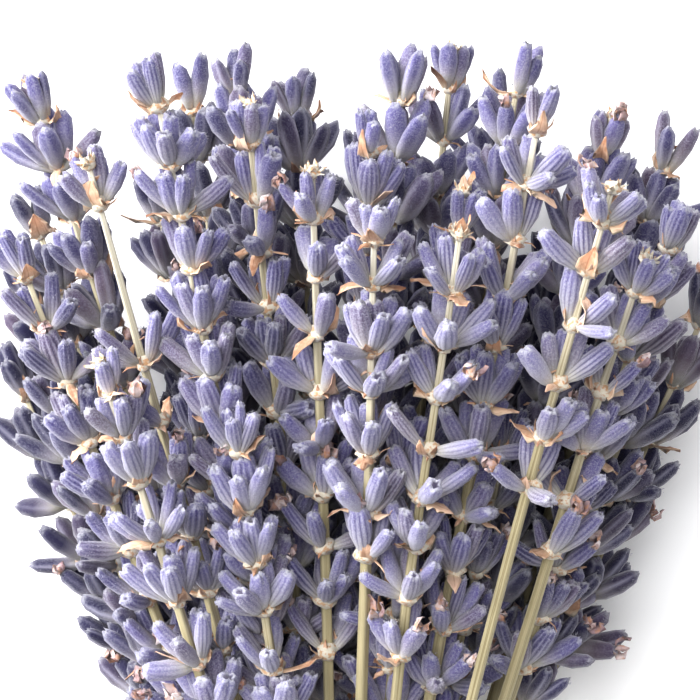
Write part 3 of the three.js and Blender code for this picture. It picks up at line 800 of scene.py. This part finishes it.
def drawnSheets(foot, axis, out, ranges, kind, rng):
    # Sheets whose lean, length, half width, curl and cup are drawn from ranges.
    drawn = [rng.uniform(*ranges[name], len(foot)) for name in ("lean", "length", "halfWidth", "curl", "cup")]
    return sheetSkins(foot, axis, out, *drawn, rng, kind)


petals = {
    "share": 0.045, "many": 5, "turnJitter": 0.4, "sink": 0.3, "out": 0.3,
    "lean": (0.2, 1.7), "length": (1.3, 2.6), "halfWidth": (0.3, 0.7), "curl": (1.0, 4.6), "cup": (-0.8, 0.8),
}


def petalSkins(chosen, path, rng):
    # What is left of a flower: shrivelled petals that curl over the mouth.
    centres, direction, wide, thick = (value[chosen, -1][:, None] for value in path)
    jitter = rng.uniform(-petals["turnJitter"], petals["turnJitter"], (len(centres), petals["many"]))
    out = turned(wide, thick, evenTurns(petals["many"]) + jitter)
    foot = centres - petals["sink"] * direction + petals["out"] * out
    along = np.broadcast_to(direction, out.shape)
    return drawnSheets(foot.reshape(-1, 3), along.reshape(-1, 3), out.reshape(-1, 3), petals, "petal", rng)


# Bracts: a broad papery pair under each whorl, and narrow ones among the calyces. Those of the rows behind
# are darker, as painted shade.
bracts = {
    "length": 3.4, "lengthSpread": 1.2, "halfWidth": 0.88, "halfWidthSpread": 0.36, "lean": 64,
    "leanJitter": 26, "curlUp": 0.7, "curlSpread": 2.3, "cup": 0.45, "cupDraw": (0.2, 1.6), "lost": 0.1,
    # The tone of the bracts behind is scaled down, as painted shade.
    "out": 0.5, "down": 0.5, "shadeBehind": 0.75, "narrowLength": 1.8, "narrowHalfWidth": 0.3,
    "inWhorl": {
        "bract": {"front": 2, "behind": 2, "turnSpread": 0.2},
        "narrow": {"front": 5, "behind": 2, "turnSpread": 0.5},
    },
}


def growBracts(index, front, rng):
    # index lists the whorls of one spike. Bracts stand evenly round a whorl, turned a little by a draw.
    place, along, up, side = (value[:, None] for value in standOn(whorlStem[index], whorlY[index]))
    # Bracts of the rows behind get painted shade: their tone is scaled down.
    lightShare = 1.0 if front else bracts["shadeBehind"]
    made = []
    for kind, group in bracts["inWhorl"].items():
        many = group["front" if front else "behind"]
        turn = whorlTurns[index][:, None] + evenTurns(many)
        turn = turn + rng.normal(0, group["turnSpread"], turn.shape)
        out = turned(up, side, turn)
        kept = rng.uniform(0, 1, turn.shape) > bracts["lost"]
        down = rng.uniform(0, bracts["down"], turn.shape)[..., None]
        foot = (place + out * bracts["out"] - along * down)[kept]
        count = len(foot)
        lean = np.radians(bracts["lean"] + rng.uniform(-1, 1, count) * bracts["leanJitter"])
        length = bracts["length"] + rng.uniform(-1, 1, count) * bracts["lengthSpread"]
        halfWidth = bracts["halfWidth"] + rng.uniform(-1, 1, count) * bracts["halfWidthSpread"]
        if kind == "narrow":
            length = length * bracts["narrowLength"] / bracts["length"]
            halfWidth = halfWidth * bracts["narrowHalfWidth"] / bracts["halfWidth"]
        curl = bracts["curlUp"] + rng.uniform(-1, 1, count) * bracts["curlSpread"]
        cup = bracts["cup"] * rng.uniform(*bracts["cupDraw"], count)
        axis = np.broadcast_to(along, out.shape)[kept]
        made.append(sheetSkins(foot, axis, out[kept], lean, length, halfWidth, curl, cup, rng, kind,
                               lightShare))
    return made


# Wool: a lumpy ring of cream felt round the stem at each whorl, with loose hairs.
wool = {
    "radii": [0.5, 0.9, 1.08, 0.85, 0.45], "heights": [-0.8, -0.4, 0.05, 0.5, 0.9], "sides": 10,
    "lumps": 0.34, "largerInFront": 1.22, "smallerAtTip": 0.8, "tone": 0.8, "hairs": 24, "hairsBehind": 6,
    "hairLength": 0.45, "hairLengthDraw": (0.4, 1.4), "hairWidth": 0.022, "hairToneAndShade": (0.5, 1),
    "hairRoot": 0.8, "hairSpan": 0.6, "hairSpread": 0.5,
}


def growWool(place, along, up, side, scale, many, rng):
    # Radius = the ring's own * a drawn lump * scale. The hairs stand out from the ring, slanted by a draw.
    count, sides, heights = len(place), wool["sides"], np.array(wool["heights"])
    scale = scale[:, None, None]
    turn = evenTurns(sides)
    lumps = 1 + wool["lumps"] * rng.uniform(-1, 1, (count, len(heights), sides))
    radius = np.array(wool["radii"])[None, :, None] * lumps * scale
    path = place[:, None] + along[:, None] * heights[None, :, None] * scale
    first, second = (np.broadcast_to(value[:, None], path.shape) for value in (up, -side))
    skin = skins(path, first, second, radius * np.cos(turn), radius * np.sin(turn), path[:, 0], path[:, -1],
                 tone=wool["tone"])
    out = turned(up[:, None], side[:, None], rng.uniform(0, 2 * np.pi, (count, many)))
    higher = along[:, None] * rng.uniform(-wool["hairSpan"], wool["hairSpan"], (count, many, 1))
    start = place[:, None] + out * wool["hairRoot"] * scale + higher
    lean = unit(out + rng.normal(0, wool["hairSpread"], (count, many, 3)))
    lengths = wool["hairLength"] * rng.uniform(*wool["hairLengthDraw"], count * many)
    widths = np.full(count * many, wool["hairWidth"])
    hairs = thorns(start.reshape(-1, 3), lean.reshape(-1, 3), lengths, widths,
                   tone=rng.uniform(*wool["hairToneAndShade"], count * many))
    return [(skin, 1), (hairs, 1)]


bareTips = {
    "below": 0.9, "many": 9, "inTurn": 3.5, "turnJitter": 0.3, "out": 0.3, "wool": 0.8, "rusty": 2,
    "pale": {"lean": (0.2, 1.5), "length": (0.9, 1.5), "halfWidth": (0.3, 0.5), "curl": (-0.6, 0.9),
             "cup": (0.2, 0.9)},
    "rust": {"lean": (0.1, 0.6), "length": (1.6, 2.4), "halfWidth": (0.5, 0.8), "curl": (-0.3, 0.5),
             "cup": (0, 0.4)},
}


def bareTip(i, rng):
    # The end of a spike whose last flowers have dropped: a woolly knot of small pale bracts on a bare stalk,
    # and on some a rust pair that still stands. The pair is drawn for each tip and kept for those.
    t, pair = bareTips, bareTips["rusty"]
    sides = list(standOn([i], np.array([whorls["bareTips"][stemKeys[i]] - t["below"]])))
    place, along, up, side = sides
    turn = np.arange(t["many"]) * 2 * np.pi / t["inTurn"]
    out = turned(up, side, turn + rng.uniform(-t["turnJitter"], t["turnJitter"], t["many"]))
    foot, axis = place + out * t["out"], np.broadcast_to(along, out.shape)
    pale = drawnSheets(foot, axis, out, t["pale"], "narrow", rng)
    rust = drawnSheets(foot[:pair], axis[:pair], out[:pair], t["rust"], "bract", rng)
    parts = [(pale, 1)] + growWool(*sides, np.array([t["wool"]]), wool["hairs"], rng)
    return [(rust, 0)] * (stemKeys[i] in whorls["rustTips"]) + parts


def buildSpike(i):
    # One spike: calyces with their hairs and dried petals, on one calyx at least, then bracts and wool as a
    # piece of their own.
    rng = np.random.default_rng(calyxShape["seed"] + i)
    name = "%02d" % (i + 1)
    front = stems["row"][i] >= calyces["frontFrom"]
    detail = calyxShape["front" if front else "behind"]
    mine = calyxList["stem"] == i
    c = {key: value[mine] for key, value in calyxList.items()}
    skin, path = calyxSkins(c, detail, rng)
    hairs = calyxHairs(c, detail, path, rng)
    chosen = rng.uniform(0, 1, len(c["stem"])) < petals["share"]
    chosen[0] = True
    parts = [(skin, 0), (hairs, 1), (petalSkins(chosen, path, rng), 2)]
    addPiece("calyces_" + name, parts, [calyxFelt, calyxHair, driedPetal], ["spike_" + name])
    index = np.nonzero(whorlStem == i)[0]
    sizes = (wool["largerInFront"] if front else 1.0) * np.linspace(1, wool["smallerAtTip"], len(index))
    many = wool["hairs" if front else "hairsBehind"]
    nodes = growWool(*standOn(whorlStem[index], whorlY[index]), sizes, many, rng)
    parts = [(sheet, 0) for sheet in growBracts(index, front, rng)] + nodes
    if stemKeys[i] in whorls["bareTips"]:
        parts += bareTip(i, rng)
    addPiece("bracts_" + name, parts, [bractPaper, nodeWool])


for i in range(stemCount):
    buildSpike(i)
print("spikes are grown:", stemCount)

# Stems: four-angled, grooved along each face, tapering from the cut end to the tip of the spike.
stalks = {
    "seed": 300, "sides": 16, "fromButt": 26, "inSpike": 16, "halfWidths": [0.72, 0.66, 0.52, 0.3],
    "corners": 4, "groove": 0.15, "grooveSharpness": 8, "cutCap": 0.12, "tipCap": 0.15,
    "pastWhorl": 2.0, "belowTip": 1.0, "wave": 0.16, "waveLengths": (13, 17), "twist": 0.7, "twistLength": 90,
    "heldTo": 8, "freeOver": 20, "freeFromTip": 30, "streakShift": 0.7,
    # The lower rows' stems keep less cream, as painted shade.
    "creamFrom": 6, "creamOver": 24, "creamFromRow": 5, "cream": 0.9, "creamInShade": 0.4,
}


def buildStems(row):
    # Radius = half width * rounded square * (1 - groove at the middle of each face). The line sways by two
    # slow sines, and the section turns slowly as it goes, both less near the tie and the tip.
    t, name = stalks, "%02d" % (row + 1)
    rng = np.random.default_rng(t["seed"] + row)
    index = np.nonzero(stems["row"] == row)[0]
    mine = picked(stems, index)
    tipY = [whorls["bareTips"].get(stemKeys[i], heightsOf[i][-1] + t["pastWhorl"]) for i in index]
    ends = np.array(tipY) - t["belowTip"]
    share = np.linspace(0, 1, t["fromButt"] + t["inSpike"])[None]
    y = -mine["buttLength"][:, None] + (ends + mine["buttLength"])[:, None] * share
    place, along, up, side = sidesAt(mine, y)
    phase = rng.uniform(0, 2 * np.pi, (2, len(index), 1))
    free = np.clip((np.abs(y) - t["heldTo"]) / t["freeOver"], 0, 1)
    free = free * np.clip((ends[:, None] - y) / t["freeFromTip"], 0, 1)
    sway = [np.sin(y / length + start)[..., None] for length, start in zip(t["waveLengths"], phase)]
    place = place + (side * sway[0] + up * sway[1]) * (t["wave"] * free)[..., None]
    turn = evenTurns(t["sides"])
    rounded = (np.cos(turn) ** t["corners"] + np.sin(turn) ** t["corners"]) ** (-1 / t["corners"])
    groove = np.cos(2 * turn) ** t["grooveSharpness"]
    at = np.stack([-mine["buttLength"], 0 * ends, mine["spikeStart"], ends], 1)
    half = np.stack([np.interp(line, stations, t["halfWidths"]) for line, stations in zip(y, at)])
    radius = half[..., None] * (rounded * (1 - t["groove"] * groove))[None, None]
    twisted = turn + (t["twist"] * np.sin(y / t["twistLength"] + phase[0]) * free)[..., None]
    upper = np.clip((y - mine["spikeStart"][:, None] - t["creamFrom"]) / t["creamOver"], 0, 1)
    # Painted shade: the rows behind keep less cream.
    upper = upper * t["cream" if row >= t["creamFromRow"] else "creamInShade"]
    skin = skins(place, up, -side, radius * np.cos(twisted), radius * np.sin(twisted),
                 place[:, 0] + along[:, 0] * t["cutCap"], place[:, -1] + along[:, -1] * t["tipCap"],
                 around=np.cos(turn * 2)[None, None] + index[:, None, None] * t["streakShift"],
                 rib=(1 - groove)[None, None], upper=upper[..., None], hole=0.0)
    markPole(skin, len(index), "hole", -2, 1)
    addPiece("stalks_" + name, [(skin, 0)], [stemStraw], ["stems_" + name])


for row in range(len(bunch["rows"])):
    buildStems(row)
print("stems are laid")

# Twine: three strands twisted round each other, in turns drawn tight round the neck, with a knot of two loops
# on top of them.
twine = {
    "seed": 77, "stemReach": 0.72, "turns": 4, "pitch": 1.8, "cord": 0.85, "fineSteps": 400, "stepsTurn": 90,
    "strands": 3, "strand": 0.47, "unevenness": (0.9, 1.1), "offset": 0.41, "lay": 5.2, "strandSides": 8,
    "endOver": 0.5, "endWidth": 0.35, "endCap": 0.1,
    "nose": 2.7, "leg": 7.5, "curl": 1.7, "wide": 1.5, "narrow": 0.85, "widening": 0.2, "crossing": 3,
    "lift": 0.6, "dip": 1.35, "fall": 8.0, "fallFrom": 0.6, "knotSteps": 60,
    "fibres": 520, "loopFibres": 90, "fibreLength": 1.3, "fibreLengthDraw": (0.3, 1.3), "fibreWidth": 0.03,
    "fibreRoot": 0.8, "fibreSlant": 1.2,
}


def tiePath():
    # In each direction the cord lies off the outermost stem by that stem's reach and its own. The turns are
    # cut into even steps along their length, and move along the bunch by the pitch.
    turn = np.linspace(0, 2 * np.pi * twine["turns"], twine["fineSteps"] * twine["turns"]) + np.pi / 2
    facing = np.stack([np.cos(turn), np.sin(turn)], -1)
    neck = np.stack([stems["neckX"], stems["neckUp"]], -1)
    loop = neck[np.argmax(facing @ neck.T, 1)] + (twine["stemReach"] + twine["cord"]) * facing
    travelled = travelAlong(loop)
    share = np.linspace(0, 1, twine["turns"] * twine["stepsTurn"])
    x, z = (np.interp(share * travelled[-1], travelled, loop[:, axis]) for axis in (0, 1))
    return np.stack([x, (share - 0.5) * twine["turns"] * twine["pitch"], bunch["neckHeight"] + z], -1)


def knotPath(sign, tieTop):
    # Half of the knot: a loop whose nose lies over the other half's legs, and whose legs dip under its nose.
    t = twine
    along = np.linspace(-1, 1, t["knotSteps"])
    far = np.abs(along)
    width = t["narrow"] + t["wide"] * np.maximum(0, np.sin(np.pi * (far + t["widening"]))) ** 2
    x = sign * (t["nose"] - t["leg"] * far ** t["curl"])
    y = sign * width * np.sin(np.pi / 2 * np.clip(t["crossing"] * along, -1, 1))
    z = tieTop + 2 * t["cord"] + t["lift"] + t["lift"] * np.cos(np.pi * np.minimum(1, t["dip"] * far))
    return np.stack([x, y, z - t["fall"] * np.maximum(0, far - t["fallFrom"])], -1)


def cordParts(path, fibres, rng):
    # Each strand winds round the cord's path at the strand offset, once in every lay of its length, and thins
    # at its ends. Loose fibres stand off the cord.
    t = twine
    step = unit(np.gradient(path, axis=0))
    travelled = travelAlong(path)
    outward = path - np.array([0, 0, bunch["neckHeight"]])
    outward = unit(outward - step * (outward * step).sum(-1, keepdims=True))
    other = np.cross(step, outward)
    phase = travelled / t["lay"] * 2 * np.pi + evenTurns(t["strands"])[:, None]
    wound = path[None] + t["offset"] * turned(outward, other, phase)
    ends = np.clip(np.minimum(travelled, travelled[-1] - travelled) / t["endOver"], t["endWidth"], 1)
    turn = evenTurns(t["strandSides"])
    uneven = rng.uniform(*t["unevenness"], (t["strands"], len(path), t["strandSides"]))
    radius = t["strand"] * ends[None, :, None] * uneven
    first, second = (np.broadcast_to(value, wound.shape) for value in (outward, other))
    # facing is low where a strand turns in towards the others, where the finish paints shade.
    facing = np.cos(turn[None, None] - phase[..., None])
    skin = skins(wound, first, second, radius * np.cos(turn), radius * np.sin(turn),
                 wound[:, 0] - step[0] * t["endCap"], wound[:, -1] + step[-1] * t["endCap"],
                 rib=np.clip(0.5 + 0.5 * facing, 0, 1))
    at = rng.integers(0, len(path), fibres)
    radial = turned(outward[at], other[at], rng.uniform(0, 2 * np.pi, fibres))
    lean = unit(radial + step[at] * rng.normal(0, t["fibreSlant"], (fibres, 1)))
    lengths = t["fibreLength"] * rng.uniform(*t["fibreLengthDraw"], fibres)
    loose = thorns(path[at] + radial * t["cord"] * t["fibreRoot"], lean, lengths,
                   np.full(fibres, t["fibreWidth"]), rib=1.0)
    return [(skin, 0), (loose, 0)]


def buildTwine():
    rng = np.random.default_rng(twine["seed"])
    path = tiePath()
    tieTop = path[:, 2].max()
    addPiece("twine_turns", cordParts(path, twine["fibres"], rng), [twineFibre], ["twine_tie"])
    halves = [cordParts(knotPath(sign, tieTop), twine["loopFibres"], rng) for sign in (1, -1)]
    addPiece("twine_loops", halves[0] + halves[1], [twineFibre], ["twine_knot"])


buildTwine()
print("twine is tied")

# The stage: a pale floor that glows a little, soft light and a camera that looks straight down on the
# flowers. A wide sun shines from above, one soft lamp stands at each side, and lampsAt gives their places in
# metres.
stage = {
    "floor": 6.0, "floorBelow": 0.2, "floorGlow": 0.12, "floorGrain": 4.0,
    "floorTones": [(0.3, (0.92, 0.92, 0.93)), (0.7, (0.94, 0.94, 0.95))],
    "worldColour": (0.96, 0.97, 1.0), "world": 0.13, "sun": 4.6, "sunAngle": 60, "sunTilt": (12, -20),
    "lamps": [17.0, 1.8], "lampsAt": [(-0.8, 0.42, 0.3), (0.8, 0.2, 0.35)], "lampSize": 0.5,
    "cameraHeight": 425, "focusHeight": 45, "aimFromTie": 88, "aimHeight": 25, "pictureWidth": 72.16,
    "clip": (0.01, 50), "gamma": 0.88,
}


def floorPaper(tree):
    return ramp(tree, noise(tree, stage["floorGrain"]), stage["floorTones"]), None


def addFloor():
    size = stage["floor"]
    mesh = bpy.data.meshes.new("floor")
    corners = [(-size, -size, 0), (size, -size, 0), (size, size, 0), (-size, size, 0)]
    mesh.from_pydata(corners, [], [(0, 1, 2, 3)])
    paper = finish("floorPaper", floorPaper, roughness=0.8)
    shader = paper.node_tree.nodes["Principled BSDF"]
    shader.inputs["Emission Color"].default_value = (1, 1, 1, 1)
    shader.inputs["Emission Strength"].default_value = stage["floorGlow"]
    mesh.materials.append(paper)
    floor = bpy.data.objects.new("floor", mesh)
    floor.location.z = -stage["floorBelow"] * mm
    bpy.context.scene.collection.objects.link(floor)


def addLight(kind, strength, place=(0, 0, 0)):
    light = bpy.data.lights.new(kind.lower(), kind)
    light.energy = strength
    lamp = bpy.data.objects.new(kind.lower(), light)
    lamp.location = place
    bpy.context.scene.collection.objects.link(lamp)
    return lamp


def addCamera(aim):
    camera = bpy.data.objects.new("camera", bpy.data.cameras.new("camera"))
    distance = stage["cameraHeight"] - stage["focusHeight"]
    camera.data.lens = camera.data.sensor_width * distance / stage["pictureWidth"]
    camera.location = (aim.x, aim.y, stage["cameraHeight"] * mm)
    camera.data.clip_start, camera.data.clip_end = stage["clip"]
    bpy.context.scene.collection.objects.link(camera)
    bpy.context.scene.camera = camera


def buildStage():
    scene = bpy.context.scene
    addFloor()
    world = bpy.data.worlds.new("studio")
    world.use_nodes = True
    background = world.node_tree.nodes["Background"]
    background.inputs["Color"].default_value = (*stage["worldColour"], 1)
    background.inputs["Strength"].default_value = stage["world"]
    scene.world = world
    sun = addLight("SUN", stage["sun"])
    sun.data.angle = math.radians(stage["sunAngle"])
    sun.rotation_euler = (math.radians(-stage["sunTilt"][0]), math.radians(stage["sunTilt"][1]), 0)
    aim = Vector((tie[0], tie[1] + stage["aimFromTie"], stage["aimHeight"])) * mm
    for strength, place in zip(stage["lamps"], stage["lampsAt"]):
        lamp = addLight("AREA", strength, place)
        lamp.data.size = stage["lampSize"]
        lamp.rotation_euler = (aim - lamp.location).to_track_quat("-Z", "Y").to_euler()
    addCamera(aim)
    scene.view_settings.view_transform = "Standard"
    scene.view_settings.gamma = stage["gamma"]


buildStage()
print("stage is set")
